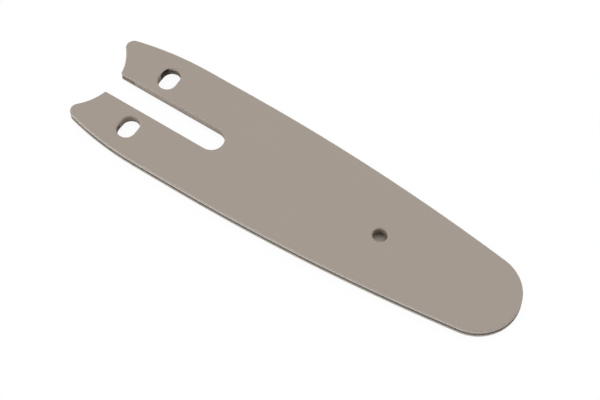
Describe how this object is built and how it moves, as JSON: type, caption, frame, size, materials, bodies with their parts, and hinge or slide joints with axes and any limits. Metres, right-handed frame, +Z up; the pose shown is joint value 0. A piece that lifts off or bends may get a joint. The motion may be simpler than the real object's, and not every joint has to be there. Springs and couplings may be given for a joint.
{
  "type": "chainsaw guide bar",
  "caption": "Short laminated chainsaw guide bar with forked tail, open stud slot, oval adjuster holes, small hanging hole, tapering flanks, round nose and a chain groove round its edge.",
  "frame": {"origin": "middle of the bar's box, on its underside", "axes": "+X along the bar towards the nose, +Y across the bar, +Z up through the plates"},
  "size_m": [0.1535, 0.0408, 0.0034],
  "materials": {
    "plate_coat": "satin taupe-grey coat on steel plate",
    "core_coat": "thinner satin taupe-grey coat on steel plate"
  },
  "bodies": {
    "root": {"lower_side_plate": "plate_coat", "core_plate": "core_coat", "upper_side_plate": "plate_coat"}
  },
  "joints": []
}
